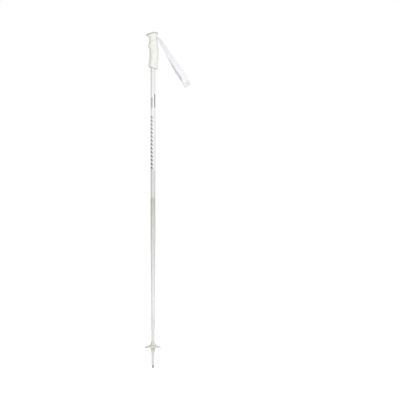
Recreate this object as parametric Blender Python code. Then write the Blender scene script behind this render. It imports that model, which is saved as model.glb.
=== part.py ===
"""Alpine ski pole, 1.15 m, with a two-shot grip, a wrist strap, a snow basket and a steel tip.

The origin is the lowest point of the tip, on the shaft's axis, and +Z runs up the shaft.
-X is the finger side of the grip. +X is the palm side, where the strap leaves.
Lengths are in millimetres and become metres when a mesh is made.
"""

import math

import bmesh
import bpy
from mathutils import Matrix, Vector

MM = 0.001
GAP = 0.3  # clearance between pieces that touch on the real pole

# Driving dimensions
POLE_LENGTH = 1150.0
SHAFT_RADIUS = 8.0
SHAFT_LOW_RADIUS = 5.4
SHAFT_WALL = 0.9
SHAFT_TOP = 1100.0
SHAFT_END = 100.0
TAPER_TOP = 440.0
TAPER_FOOT = 200.0
FERRULE_TOP = 175.0
TIP_SHOWN = 9.0
BASKET_RADIUS = 28.5
SKIN_WALL = 2.0
CAP_THICK = 3.0
WEBBING_WIDTH = 22.5
WEBBING_THICK = 1.5
STRAP_LENGTH = 193.0
BAND_WIDTH = 24.5
BAND_LENGTH = 11.0

# Places that several pieces share
HINGE = Vector((16.6, 0.0, 1130.8))  # where the strap bends as it leaves the grip
PIN = Vector((2.0, 0.0, 1119.5))  # the cross pin's axis
PIN_RADIUS = 1.5
SCREW_X = 10.3
BORE_TOP = 1102.3

ROUND_SIDES = 28
GRIP_SIDES = 32

# Grip outline from the bottom rim to the joint with the cap. Each row is one section:
# front z, front x, back z, back x, half width, squareness, how far the front narrows, arch
GRIP_STATIONS = [
    (1030.0, -14.6, 1020.8, 15.8, 14.3, 2.3, 0.00, 0.0),
    (1035.5, -15.2, 1029.0, 16.2, 14.5, 2.3, 0.00, 0.0),
    (1046.0, -14.0, 1043.0, 16.5, 14.2, 2.3, 0.00, 0.0),
    (1057.0, -12.6, 1056.0, 18.0, 13.9, 2.3, 0.00, 0.0),
    (1069.0, -11.5, 1069.0, 19.0, 13.8, 2.3, 0.00, 0.0),
    (1081.0, -12.1, 1081.0, 18.9, 14.0, 2.3, 0.00, 0.0),
    (1091.0, -13.2, 1091.0, 18.4, 14.3, 2.4, 0.00, 0.0),
    (1098.0, -14.3, 1098.5, 17.7, 14.6, 2.5, 0.00, 0.0),
    (1104.0, -16.8, 1105.0, 16.8, 14.9, 2.6, 0.00, 0.0),
    (1110.0, -14.0, 1111.0, 15.8, 15.1, 2.8, 0.00, 0.0),
    (1117.0, -12.4, 1117.0, 15.1, 15.3, 2.9, 0.00, 0.0),
    (1123.0, -12.1, 1123.0, 14.8, 15.5, 3.0, 0.00, 0.0),
    (1128.0, -13.3, 1129.0, 14.8, 15.8, 3.0, 0.05, 0.0),
    (1132.0, -16.6, 1134.5, 15.0, 16.3, 3.0, 0.20, 1.0),
    (1136.0, -20.9, 1139.5, 15.8, 16.8, 2.9, 0.42, 3.0),
    (1138.9, -23.0, 1144.6, 16.7, 17.2, 2.8, 0.55, 4.2),
]
RINGS_PER_STATION = 2


def clear_scene():
    """Removes whatever the file opened with."""
    for thing in list(bpy.data.objects):
        bpy.data.objects.remove(thing, do_unlink=True)


def material(name, colour, roughness, metallic=0.0):
    """A Principled material of one colour."""
    made = bpy.data.materials.new(name)
    made.use_nodes = True
    shader = made.node_tree.nodes["Principled BSDF"]
    shader.inputs["Base Color"].default_value = (*colour, 1.0)
    shader.inputs["Roughness"].default_value = roughness
    shader.inputs["Metallic"].default_value = metallic
    return made


def finish(name, bm, paint, parent=None, origin=Vector(), smooth_deg=35.0):
    """Turns a bmesh in millimetres into a named object whose origin is at the given point."""
    bmesh.ops.recalc_face_normals(bm, faces=bm.faces[:])
    bm.transform(Matrix.Scale(MM, 4) @ Matrix.Translation(-origin))
    mesh = bpy.data.meshes.new(name)
    bm.to_mesh(mesh)
    bm.free()
    mesh.materials.append(paint)
    mesh.shade_smooth()
    mesh.set_sharp_from_angle(angle=math.radians(smooth_deg))
    made = bpy.data.objects.new(name, mesh)
    bpy.context.scene.collection.objects.link(made)
    if parent:
        made.parent = parent
        origin = origin - Vector(parent.location) / MM
    made.location = origin * MM
    return made


def joint_empty(name, place):
    """An empty on a joint's axis, the parent of the pieces that move together."""
    empty = bpy.data.objects.new(name, None)
    bpy.context.scene.collection.objects.link(empty)
    empty.location = place * MM
    return empty


def turned(outline, sides=ROUND_SIDES, centre=Vector()):
    """A solid of revolution about Z. outline is (radius, z): from axis to axis, or a closed loop."""
    bm = bmesh.new()
    verts = [bm.verts.new((centre.x + r, centre.y, z)) for r, z in outline]
    closed = outline[0][0] > 0.0
    ends = verts[1:] + verts[:1] if closed else verts[1:]
    edges = [bm.edges.new(pair) for pair in zip(verts, ends)]
    bmesh.ops.spin(
        bm,
        geom=verts + edges,
        cent=centre,
        axis=(0.0, 0.0, 1.0),
        angle=math.tau,
        steps=sides,
        use_merge=True,
    )
    bmesh.ops.remove_doubles(bm, verts=bm.verts[:], dist=0.001)
    return bm


def prism(outline, half_width):
    """An outline in x and z, extruded across the pole from -half_width to +half_width in y."""
    bm = bmesh.new()
    near = bm.faces.new([bm.verts.new((x, -half_width, z)) for x, z in outline])
    grown = bmesh.ops.extrude_face_region(bm, geom=[near])["geom"]
    moved = [v for v in grown if isinstance(v, bmesh.types.BMVert)]
    bmesh.ops.translate(bm, verts=moved, vec=(0.0, 2.0 * half_width, 0.0))
    return bm


def box(low, high):
    """A plain block between two corners."""
    bm = bmesh.new()
    size = Vector(high) - Vector(low)
    middle = (Vector(high) + Vector(low)) / 2.0
    bmesh.ops.create_cube(bm, size=1.0, matrix=Matrix.Translation(middle) @ Matrix.Diagonal((*size, 1.0)))
    return bm


def drill(radius, start, end, sides=24):
    """A round cutter from one point to another."""
    axis = Vector(end) - Vector(start)
    bm = bmesh.new()
    bmesh.ops.create_cone(
        bm,
        cap_ends=True,
        segments=sides,
        radius1=radius,
        radius2=radius,
        depth=axis.length,
        matrix=Matrix.Translation((Vector(start) + Vector(end)) / 2.0)
        @ axis.to_track_quat("Z", "Y").to_matrix().to_4x4(),
    )
    return bm


def cut(target, name, bm):
    """Cuts a hidden tool's shape out of the target."""
    tool = finish(name, bm, target.data.materials[0])
    tool.hide_render = True
    tool.display_type = "WIRE"
    hollow = target.modifiers.new(name, "BOOLEAN")
    hollow.operation = "DIFFERENCE"
    hollow.solver = "EXACT"
    hollow.object = tool


def rounded(target, width_mm, segments=1, angle_deg=40.0):
    """Bevels the sharp edges."""
    bevel = target.modifiers.new("edges", "BEVEL")
    bevel.width = width_mm * MM
    bevel.segments = segments
    bevel.limit_method = "ANGLE"
    bevel.angle_limit = math.radians(angle_deg)


def skin(rings, close_ends=True):
    """Faces between rings of equally many points, with flat ends or joined last to first."""
    bm = bmesh.new()
    rows = [[bm.verts.new(p) for p in ring] for ring in rings]
    following = rows[1:] if close_ends else rows[1:] + rows[:1]
    for low, high in zip(rows, following):
        count = len(low)
        for k in range(count):
            n = (k + 1) % count
            bm.faces.new((low[k], low[n], high[n], high[k]))
    if close_ends:
        bm.faces.new(rows[0])
        bm.faces.new(rows[-1])
    return bm


def smooth_rows(rows, per_row):
    """Catmull-Rom rows through the given rows, so that few sections make a smooth outline."""
    made = []
    last = len(rows) - 1
    for i in range(last):
        before = rows[max(i - 1, 0)]
        after = rows[min(i + 2, last)]
        for step in range(per_row):
            t = step / per_row
            made.append(
                tuple(
                    0.5
                    * (
                        2.0 * b
                        + (c - a) * t
                        + (2.0 * a - 5.0 * b + 4.0 * c - d) * t * t
                        + (3.0 * b - a - 3.0 * c + d) * t**3
                    )
                    for a, b, c, d in zip(before, rows[i], rows[i + 1], after)
                )
            )
    made.append(rows[last])
    return made


def grip_ring(station, inset=0.0, share=1.0, lift=0.0, crown=0.0):
    """One section of the grip: a superellipse on a sloping, arched surface.

    inset moves the ring inwards, share shrinks it towards its middle, lift raises it,
    and crown raises its middle above its sides.
    """
    front_z, front_x, back_z, back_x, half_width, square, narrowing, arch = station
    middle = (front_x + back_x) / 2.0
    half_depth = (back_x - front_x) / 2.0
    ring = []
    for k in range(GRIP_SIDES):
        angle = math.tau * (k + 0.5) / GRIP_SIDES
        c = math.cos(angle)
        s = math.sin(angle)
        u = math.copysign(abs(c) ** (2.0 / square), c)
        v = math.copysign(abs(s) ** (2.0 / square), s)
        x = middle + (half_depth - inset) * share * u
        nose = 1.0 - narrowing * max(0.0, -u) ** 2
        y = (half_width * nose - inset) * share * v
        along = (x - front_x) / (back_x - front_x)
        z = front_z + (back_z - front_z) * along + arch * 5.4 * along**1.6 * (1.0 - along)
        z += lift + crown * (1.0 - (y / half_width) ** 2)
        ring.append((x, y, z))
    return ring


def make_shaft(paint):
    """Straight tube, one long swaged taper, and a thinner end inside the ferrule."""
    outside = [
        (SHAFT_RADIUS, SHAFT_TOP),
        (SHAFT_RADIUS, TAPER_TOP + 25.0),
        (SHAFT_RADIUS - 0.08, TAPER_TOP),
        (SHAFT_RADIUS - 0.45, TAPER_TOP - 25.0),
        (SHAFT_LOW_RADIUS + 0.45, TAPER_FOOT + 30.0),
        (SHAFT_LOW_RADIUS + 0.1, TAPER_FOOT + 8.0),
        (SHAFT_LOW_RADIUS, TAPER_FOOT - 10.0),
        (SHAFT_LOW_RADIUS - 0.3, FERRULE_TOP + 2.0),
        (SHAFT_LOW_RADIUS - 0.75, FERRULE_TOP - 14.0),
        (SHAFT_LOW_RADIUS - 1.0, FERRULE_TOP - 35.0),
        (SHAFT_LOW_RADIUS - 1.05, SHAFT_END),
    ]
    inside = [(r - SHAFT_WALL, z) for r, z in reversed(outside)]
    return finish("shaft_tube", turned(outside + inside), paint)


def make_plug(paint):
    """Plug in the shaft's open top end, with a flange that rests on the tube."""
    stem = SHAFT_RADIUS - SHAFT_WALL - GAP
    flange = SHAFT_TOP + GAP
    outline = [
        (0.0, flange + 1.5),
        (SHAFT_RADIUS - 0.6, flange + 1.5),
        (SHAFT_RADIUS - 0.2, flange + 1.1),
        (SHAFT_RADIUS - 0.2, flange),
        (stem, flange),
        (stem, SHAFT_TOP - 12.0),
        (stem - 0.8, SHAFT_TOP - 14.0),
        (0.0, SHAFT_TOP - 14.0),
    ]
    return finish("shaft_top_plug", turned(outline), paint)


def chamber_outline():
    """Outline of the strap chamber: pin pocket, wedge seat with its sloping back, and mouth."""
    return [
        (-7.5, 1114.9),
        (6.5, 1114.9),
        (6.5, 1124.6),
        (22.0, 1128.2),
        (22.0, 1135.2),
        (14.2, 1133.6),
        (1.7, 1130.5),
        (5.7, 1141.5),
        (5.7, POLE_LENGTH + 5.0),
        (-7.5, POLE_LENGTH + 5.0),
    ]


def chamber_cutter():
    return prism(chamber_outline(), WEBBING_WIDTH / 2.0 + 0.4)


def pin_cutter():
    reach = Vector((0.0, 30.0, 0.0))
    return drill(PIN_RADIUS + GAP, PIN - reach, PIN + reach)


def make_core(paint):
    """Hard core of the grip, with the shaft bore, the strap chamber and the fastener holes."""
    inset = SKIN_WALL + GAP
    rings = [grip_ring(s, inset) for s in GRIP_STATIONS]
    rings += [grip_ring(GRIP_STATIONS[-1], inset, share) for share in (0.75, 0.45, 0.15)]
    core = finish("grip_core", skin(rings), paint)
    cut(core, "core_shaft_bore", drill(SHAFT_RADIUS + GAP, (0, 0, 1000), (0, 0, BORE_TOP), ROUND_SIDES))
    cut(core, "core_strap_chamber", chamber_cutter())
    cut(core, "core_pin_hole", pin_cutter())
    cut(core, "core_screw_hole", drill(1.9, (SCREW_X, 0, 1134.2), (SCREW_X, 0, 1160), 16))
    return core


def make_shell(paint):
    """Soft skin over the core, from the slanted bottom rim to the joint with the cap."""
    outside = [grip_ring(s) for s in smooth_rows(GRIP_STATIONS, RINGS_PER_STATION)]
    inside = [grip_ring(s, SKIN_WALL) for s in reversed(GRIP_STATIONS)]
    shell = finish("grip_shell", skin(outside + inside, close_ends=False), paint)
    mouth = prism(
        [(6.5, 1124.6), (22.0, 1128.2), (22.0, 1135.2), (14.2, 1133.6), (6.5, 1131.7)],
        WEBBING_WIDTH / 2.0 + 0.4,
    )
    cut(shell, "shell_strap_mouth", mouth)
    cut(shell, "shell_pin_holes", pin_cutter())
    return shell


def make_cap(paint):
    """Domed hard cap that follows the head and its spur, with a button window and a screw seat."""
    top = GRIP_STATIONS[-1]
    under = [grip_ring(top, 0.0, share, GAP) for share in (0.12, 0.45, 0.75, 1.0)]
    # share of the rim's size, height as a share of the thickness, and crown
    dome = [
        (1.0, 0.32, 0.0),
        (0.99, 0.60, 0.1),
        (0.955, 0.76, 0.2),
        (0.90, 0.82, 0.35),
        (0.70, 0.82, 0.4),
        (0.40, 0.82, 0.4),
        (0.12, 0.82, 0.4),
    ]
    rim = [grip_ring(top, 0.0, share, GAP + height * CAP_THICK, crown) for share, height, crown in dome]
    cap = finish("head_cap", skin(under + rim), paint)
    cut(cap, "cap_button_window", box((-4.2, -5.9, 1135.0), (4.6, 5.9, 1160.0)))
    cut(cap, "cap_screw_seat", drill(3.4, (SCREW_X, 0, 1147.6), (SCREW_X, 0, 1160), 24))
    cut(cap, "cap_screw_hole", drill(1.9, (SCREW_X, 0, 1140), (SCREW_X, 0, 1150), 16))
    return cap


def make_screw(paint):
    """Round-headed screw that holds the cap, with a cross recess."""
    head = 1147.9
    outline = [
        (0.0, head + 1.5),
        (1.6, head + 1.4),
        (2.6, head + 0.9),
        (3.0, head),
        (1.6, head),
        (1.6, head - 11.8),
        (0.0, head - 13.2),
    ]
    axis = Vector((SCREW_X, 0.0, 0.0))
    screw = finish("cap_screw", turned(outline, 20, axis), paint)
    cut(screw, "screw_slot_a", box((SCREW_X - 1.6, -0.35, head + 0.7), (SCREW_X + 1.6, 0.35, head + 3.0)))
    cut(screw, "screw_slot_b", box((SCREW_X - 0.35, -1.6, head + 0.65), (SCREW_X + 0.35, 1.6, head + 3.1)))
    return screw


def make_pin(paint):
    """Steel cross pin that the stitched end of the strap loops round."""
    reach = Vector((0.0, 15.0, 0.0))
    pin = finish("strap_pin", drill(PIN_RADIUS, PIN - reach, PIN + reach), paint)
    rounded(pin, 0.4)
    return pin


def make_wedge(paint, parent):
    """Wedge that clamps the free end, with a button through the cap. It lifts straight up."""
    body_top = 1140.4
    outline = [(-5.3, 1130.3), (1.4, 1130.8), (4.9, body_top), (-5.3, body_top)]
    body = prism(outline, WEBBING_WIDTH / 2.0)
    wedge = finish("strap_wedge", body, paint, parent, Vector((0.0, 0.0, body_top)))
    # the button stands on the body, and its sloping top is level with the cap
    button = prism([(-3.8, 1138.0), (4.2, 1138.0), (4.2, 1149.6), (-3.8, 1148.9)], 5.5)
    tool = finish("wedge_button", button, paint)
    tool.hide_render = True
    tool.display_type = "WIRE"
    join = wedge.modifiers.new("button", "BOOLEAN")
    join.operation = "UNION"
    join.solver = "EXACT"
    join.object = tool
    return wedge


def ribbon(path, half_width, thick):
    """A flat band that follows a path in x and z, of the given width across the pole."""
    points = [Vector((x, 0.0, z)) for x, z in path]
    rings = []
    for i, here in enumerate(points):
        ahead = points[min(i + 1, len(points) - 1)] - points[max(i - 1, 0)]
        ahead.normalize()
        side = Vector((-ahead.z, 0.0, ahead.x)) * thick / 2.0
        across = Vector((0.0, half_width, 0.0))
        rings.append([here - side - across, here + side - across, here + side + across, here - side + across])
    return skin(rings)


def curve_through(points, per_span):
    """Points along a Catmull-Rom curve."""
    return smooth_rows([tuple(p) for p in points], per_span)


def make_fixed_end(paint):
    """Stitched end of the webbing: from the mouth to the pin, and most of the way round it."""
    radius = PIN_RADIUS + GAP + WEBBING_THICK / 2.0
    wrap = [
        (PIN.x + radius * math.sin(math.radians(a)), PIN.z + radius * math.cos(math.radians(a)))
        for a in range(20, -241, -26)
    ]
    path = curve_through([(14.2, 1129.4), (9.0, 1127.8), (5.6, 1125.6)], 3) + wrap
    return finish("strap_fixed_end", ribbon(path, WEBBING_WIDTH / 2.0, WEBBING_THICK), paint)


def make_free_end(paint):
    """Adjustable end of the webbing: from the mouth, under the wedge and up in front of it."""
    path = curve_through(
        [(14.2, 1132.2), (8.5, 1130.4), (3.0, 1128.7), (-2.0, 1127.6), (-5.3, 1128.7), (-6.4, 1132.0), (-6.4, 1139.8)],
        3,
    )
    return finish("strap_free_end", ribbon(path, WEBBING_WIDTH / 2.0, WEBBING_THICK), paint)


# The strap outside the grip: share of its length, twist from level in degrees,
# half the distance between its two layers, and how far both bow up off the curve
STRAP_SHAPE = [
    (0.00, 0.0, 1.40, 0.0),
    (0.04, 13.0, 1.40, 0.0),
    (0.12, 23.0, 1.40, 0.0),
    (0.26, 34.0, 1.50, 0.0),
    (0.40, 43.0, 1.90, -0.4),
    (0.52, 53.0, 3.00, -0.4),
    (0.62, 61.0, 5.20, 0.0),
    (0.70, 67.5, 7.20, 0.0),
    (0.78, 72.0, 8.60, 0.4),
    (0.86, 75.5, 8.60, 1.7),
    (0.90, 79.0, 5.80, 1.5),
    (0.943, 85.0, 1.60, 0.4),
    (0.97, 87.0, 1.20, 0.1),
    (1.00, 88.0, 1.10, 0.0),
]
STRAP_BEND = Vector((57.0, 0.0, 1070.4))  # control point of the strap's quadratic curve
STRAP_TIP = Vector((118.3, 0.0, 966.4))
BAND_START = 1.0 - BAND_LENGTH / STRAP_LENGTH
BAND_SHARES = [BAND_START + (1.0 - BAND_START) * i / 4 for i in range(5)]


def strap_frame(share):
    """Place, direction, width direction and stacking direction of the strap at a share of its length."""
    start = HINGE
    place = start * (1 - share) ** 2 + STRAP_BEND * 2 * share * (1 - share) + STRAP_TIP * share**2
    along = ((STRAP_BEND - start) * (1 - share) + (STRAP_TIP - STRAP_BEND) * share).normalized()
    upper = Vector((-along.z, 0.0, along.x))
    rows = smooth_rows(STRAP_SHAPE, 4)
    k = max(i for i in range(len(rows) - 1) if rows[i][0] <= share + 1e-9)
    t = (share - rows[k][0]) / (rows[k + 1][0] - rows[k][0])
    twist = math.radians(rows[k][1] + (rows[k + 1][1] - rows[k][1]) * t)
    spread = rows[k][2] + (rows[k + 1][2] - rows[k][2]) * t
    place = place + upper * (rows[k][3] + (rows[k + 1][3] - rows[k][3]) * t)
    width = Vector((0.0, math.cos(twist), 0.0)) + upper * math.sin(twist)
    stack = Vector((0.0, math.sin(twist), 0.0)) - upper * math.cos(twist)
    return place, along, width, stack, spread


def strap_ribbon(shares, half_width, thick, extra, turn_steps=6):
    """A ribbon down the near layer, round the far end and up the far layer.

    extra is how far the ribbon lies outside the webbing's own two layers.
    """
    down = [strap_frame(s) for s in shares]
    rings = []

    def ring(middle, width, outward):
        w = width * half_width
        o = outward * thick / 2.0
        rings.append([middle - w - o, middle + w - o, middle + w + o, middle - w + o])

    for place, _, width, stack, spread in down:
        ring(place - stack * (spread + extra), width, -stack)
    place, along, width, stack, spread = down[-1]
    for k in range(1, turn_steps):
        angle = math.pi * (k / turn_steps - 0.5)
        outward = stack * math.sin(angle) + along * math.cos(angle)
        ring(place + outward * (spread + extra), width, outward)
    for place, _, width, stack, spread in reversed(down):
        ring(place + stack * (spread + extra), width, stack)
    return skin(rings)


def make_strap(paint, parent):
    """The hand loop: two layers of one webbing that twist, bow apart and meet at the far end."""
    shares = [BAND_START * i / 22 for i in range(22)] + BAND_SHARES
    bm = strap_ribbon(shares, WEBBING_WIDTH / 2.0, WEBBING_THICK, 0.0)
    return finish("strap_loop", bm, paint, parent, HINGE)


def make_band(paint, parent):
    """Folded band sewn round the far end, a little wider than the webbing."""
    thick = 1.0
    extra = (WEBBING_THICK + thick) / 2.0 + GAP
    bm = strap_ribbon(BAND_SHARES, BAND_WIDTH / 2.0, thick, extra)
    return finish("strap_end_band", bm, paint, parent, HINGE)


def make_ferrule(paint):
    """Tip body: a socket for the shaft on top, a seat for the basket, rings and the tip's bore."""
    outline = [
        (0.0, SHAFT_END - 1.5),
        (SHAFT_LOW_RADIUS - 0.75, SHAFT_END - 1.5),
        (SHAFT_LOW_RADIUS - 0.70, FERRULE_TOP - 35.0),
        (SHAFT_LOW_RADIUS - 0.45, FERRULE_TOP - 14.0),
        (SHAFT_LOW_RADIUS - 0.02, FERRULE_TOP),
        (5.85, FERRULE_TOP),
        (6.05, FERRULE_TOP - 1.0),
        (6.0, FERRULE_TOP - 8.0),
        (5.75, FERRULE_TOP - 18.0),
        (5.55, FERRULE_TOP - 35.0),
        (5.5, 91.6),
        (5.35, 91.2),
        (5.35, 54.6),
        (5.6, 54.2),
        (5.6, 52.4),
        (5.4, 51.6),
        (5.4, 25.6),
    ]
    for top in (25.0, 18.6):
        outline += [(5.4, top), (5.0, top - 0.7), (5.0, top - 2.0), (5.4, top - 2.7)]
    outline += [
        (5.3, TIP_SHOWN + 1.3),
        (4.9, TIP_SHOWN + GAP),
        (2.9, TIP_SHOWN + GAP),
        (2.9, 34.0),
        (0.0, 34.0),
    ]
    return finish("ferrule", turned(outline), paint)


def make_tip(paint):
    """Steel tip: a stem in the ferrule and a blunt conical point with a dished, flat-rimmed end."""
    outline = [
        (0.0, 32.0),
        (2.2, 32.0),
        (2.6, 31.4),
        (2.6, TIP_SHOWN),
        (4.3, TIP_SHOWN),
        (4.4, TIP_SHOWN - 0.5),
        (4.0, 0.6),
        (3.6, 0.0),
        (2.4, 0.0),
        (1.2, 0.8),
        (0.0, 1.1),
    ]
    return finish("tip_insert", turned(outline, 24), paint)


def make_basket(paint, parent):
    """Snow basket: a rounded hub and a thin dished disc, in one piece."""
    rim = BASKET_RADIUS
    outline = [
        (5.7, 90.0),
        (6.6, 90.0),
        (7.4, 88.6),
        (8.1, 85.2),
        (8.8, 82.4),
        (10.2, 80.0),
        (12.4, 78.2),
        (rim - 10.0, 76.3),
        (rim - 4.2, 74.0),
        (rim - 1.0, 71.9),
        (rim, 70.6),
        (rim - 0.2, 69.7),
        (rim - 1.2, 69.4),
        (rim - 4.6, 71.8),
        (rim - 10.0, 74.0),
        (12.8, 75.2),
        (10.2, 75.0),
        (9.2, 73.0),
        (8.9, 67.0),
        (8.2, 62.0),
        (7.0, 57.6),
        (6.3, 55.0),
        (5.7, 55.0),
    ]
    return finish("basket", turned(outline, 36), paint, parent, Vector((0.0, 0.0, 72.0)))


def build():
    clear_scene()
    white_paint = material("painted_aluminium", (0.86, 0.86, 0.86), 0.32, 0.1)
    soft_white = material("soft_skin", (0.80, 0.80, 0.77), 0.55)
    hard_white = material("hard_plastic", (0.82, 0.82, 0.80), 0.35)
    basket_white = material("basket_plastic", (0.74, 0.75, 0.69), 0.45)
    webbing = material("webbing", (0.82, 0.81, 0.87), 0.8)
    inner_grey = material("inner_plastic", (0.45, 0.45, 0.45), 0.5)
    steel = material("steel", (0.30, 0.30, 0.31), 0.35, 1.0)
    strap_joint = joint_empty("strap_joint", HINGE)
    wedge_joint = joint_empty("wedge_joint", Vector((0.0, 0.0, 1140.4)))
    basket_joint = joint_empty("basket_joint", Vector((0.0, 0.0, 72.0)))
    make_shaft(white_paint)
    make_plug(inner_grey)
    make_core(inner_grey)
    make_shell(soft_white)
    make_cap(hard_white)
    make_screw(steel)
    make_pin(steel)
    make_wedge(hard_white, wedge_joint)
    make_fixed_end(webbing)
    make_free_end(webbing)
    make_strap(webbing, strap_joint)
    make_band(webbing, strap_joint)
    make_ferrule(hard_white)
    make_tip(steel)
    make_basket(basket_white, basket_joint)


build()
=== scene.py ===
# %% [markdown]
# # An alpine ski pole
# The pole is a thin aluminium tube with a two-shot grip, a wrist strap of woven webbing, a round
# snow basket and a steel tip. The engineering model is loaded first and fixes every size and
# place. Each visible piece is then made again as a fine surface, worked out with arrays, because
# a close look at a highlight on a tube shows every flat facet of a coarse one.

import math

import bpy
import numpy as np
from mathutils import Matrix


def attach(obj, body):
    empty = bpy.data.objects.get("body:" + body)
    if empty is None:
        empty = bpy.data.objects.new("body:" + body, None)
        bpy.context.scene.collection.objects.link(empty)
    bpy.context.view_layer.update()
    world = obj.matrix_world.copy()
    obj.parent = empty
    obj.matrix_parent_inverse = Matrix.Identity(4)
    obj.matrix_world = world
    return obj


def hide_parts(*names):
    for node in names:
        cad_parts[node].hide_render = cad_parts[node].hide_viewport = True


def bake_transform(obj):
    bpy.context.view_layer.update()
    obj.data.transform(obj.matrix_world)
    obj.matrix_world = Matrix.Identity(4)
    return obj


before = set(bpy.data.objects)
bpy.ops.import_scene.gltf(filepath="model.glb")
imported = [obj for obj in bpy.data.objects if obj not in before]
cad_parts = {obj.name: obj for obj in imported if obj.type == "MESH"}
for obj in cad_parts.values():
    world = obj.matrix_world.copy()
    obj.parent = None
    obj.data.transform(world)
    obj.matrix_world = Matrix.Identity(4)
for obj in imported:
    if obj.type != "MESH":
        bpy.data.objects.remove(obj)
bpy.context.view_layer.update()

# %% [markdown]
# ## The camera
# The pole is seen straight from the side from far away, so that the basket's disc looks level and
# both ends of the pole are at one scale. A long lens ten metres off gives that. The pole stands
# left of the middle of the picture.

# %% Camera
MM = 0.001
scene = bpy.context.scene
FRAME_WIDTH = 1.36864  # metres across the picture at the pole
AIM_X, AIM_Z = 0.160815, 0.574829  # metres, the point in the middle of the picture
CAMERA_DISTANCE = 10.0  # metres
SENSOR = 36.0  # mm
camera_data = bpy.data.cameras.new("camera")
camera_data.sensor_width = SENSOR
camera_data.lens = SENSOR * CAMERA_DISTANCE / FRAME_WIDTH
camera = bpy.data.objects.new("camera", camera_data)
scene.collection.objects.link(camera)
camera.location = (AIM_X, -CAMERA_DISTANCE, AIM_Z)
camera.rotation_euler = (math.radians(90), 0, 0)
scene.camera = camera
scene.view_settings.view_transform = "Standard"
print("lens", round(camera_data.lens, 1), "mm")

# %% [markdown]
# ## Small helpers
# Colours are written as they look on a screen and turned to linear light by one function. One
# function adds a node with its settings and links. One function turns a grid of points into a
# closed mesh, with its own map in metres, and one smooths a short table into many rows.


# %% Helpers
def linear(hex_colour):
    """Linear red, green, blue and alpha of an sRGB hex colour."""
    srgb = np.array([int(hex_colour[i : i + 2], 16) for i in (1, 3, 5)]) / 255
    rgb = np.where(srgb <= 0.04045, srgb / 12.92, ((srgb + 0.055) / 1.055) ** 2.4)
    return (*rgb.tolist(), 1.0)


def node(tree, kind, inputs=None, **settings):
    """Adds a shader node. An input is a value to set or another node's output to link."""
    made = tree.nodes.new("ShaderNode" + kind)
    for key, value in settings.items():
        setattr(made, key, value)
    for key, value in (inputs or {}).items():
        if isinstance(value, bpy.types.NodeSocket):
            tree.links.new(value, made.inputs[key])
        else:
            made.inputs[key].default_value = value
    return made


def surface(name, grid, uv=None, loop=False, sharp_deg=35.0):
    """A closed mesh from points in millimetres, laid out as rows and columns.

    Each face joins a point to its neighbours in the next row and column, and the last column
    joins the first. loop joins the last row to the first. Rows that don't loop get a fan of
    triangles round the middle of each end row. A four-dimensional grid makes many copies at
    once. If the enclosed volume comes out negative, the faces are turned round.
    """
    grid = grid if grid.ndim == 4 else grid[None]
    copies, rows, columns = grid.shape[:3]
    index = np.arange(copies * rows * columns).reshape(copies, rows, columns)
    index = np.concatenate([index, index[:, :, :1]], 2)
    if loop:
        index = np.concatenate([index, index[:, :1]], 1)
    corners = lambda a: np.stack([a[:, :-1, :-1], a[:, :-1, 1:], a[:, 1:, 1:], a[:, 1:, :-1]], 3)
    faces = corners(index).reshape(-1, 4).tolist()
    points = grid.reshape(-1, 3)
    if not loop:
        middles = np.concatenate([grid[:, 0].mean(1), grid[:, -1].mean(1)])
        first = np.arange(copies)[:, None] + len(points)
        fan = lambda a, b, m: np.stack([a, b, np.broadcast_to(m, a.shape)], -1).reshape(-1, 3)
        faces += fan(index[:, 0, 1:], index[:, 0, :-1], first).tolist()
        faces += fan(index[:, -1, :-1], index[:, -1, 1:], first + copies).tolist()
        points = np.concatenate([points, middles])
    mesh = bpy.data.meshes.new(name)
    mesh.from_pydata((points * MM).tolist(), [], faces)
    if uv is not None:
        flat = corners(np.broadcast_to(uv, (copies, *uv.shape))).reshape(-1, 2) * MM
        spare = np.zeros((len(mesh.loops) - len(flat), 2))
        mesh.uv_layers.new(name="map").data.foreach_set("uv", np.concatenate([flat, spare]).ravel())
    mesh.calc_loop_triangles()
    triangles = np.zeros(len(mesh.loop_triangles) * 3, int)
    mesh.loop_triangles.foreach_get("vertices", triangles)
    a, b, c = (points[triangles.reshape(-1, 3)[:, k]] for k in range(3))
    if (a * np.cross(b, c)).sum() < 0:
        mesh.flip_normals()
    mesh.shade_smooth()
    mesh.set_sharp_from_angle(angle=math.radians(sharp_deg))
    piece = bpy.data.objects.new(name, mesh)
    scene.collection.objects.link(piece)
    return piece


def smooth(table, steps):
    """Catmull-Rom rows through a table's rows: each span is a cubic that leaves a row in the
    direction from the row before it to the row after it."""
    rows = np.asarray(table, float)
    before = np.vstack([rows[:1], rows[:-2]])
    after = np.vstack([rows[2:], rows[-1:]])
    a, b, c, d = (r[:, None] for r in (before, rows[:-1], rows[1:], after))
    t = (np.arange(steps) / steps)[None, :, None]
    square_part = (2 * a - 5 * b + 4 * c - d) * t**2
    cube_part = (3 * b - a - 3 * c + d) * t**3
    cubic = 2 * b + (c - a) * t + square_part + cube_part
    return np.vstack([(0.5 * cubic).reshape(-1, rows.shape[1]), rows[-1:]])


def finished(piece, body, slot, material, *nodes):
    """Gives a piece its material and body, and hides the nodes that it stands for. slot is not
    used.
    """
    piece.data.materials.clear()
    piece.data.materials.append(material)
    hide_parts(*nodes)
    if body:
        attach(piece, body)
    print(piece.name, len(piece.data.polygons), "faces")


print("mid grey is", round(linear("#808080")[0], 3), "in linear light")

# %% [markdown]
# ## The finishes
# Every finish is a Principled shader whose starting values are those of the real material. The
# fine surface comes from noise whose scale is one over a real size in metres, read from Object
# coordinates, or from a piece's own map where a pattern has to follow a surface.

# %% Material helper
CLOUD = 14.0  # mm across a patch of slightly different tone and gloss
GLOSS_SPREAD = 0.12


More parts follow.
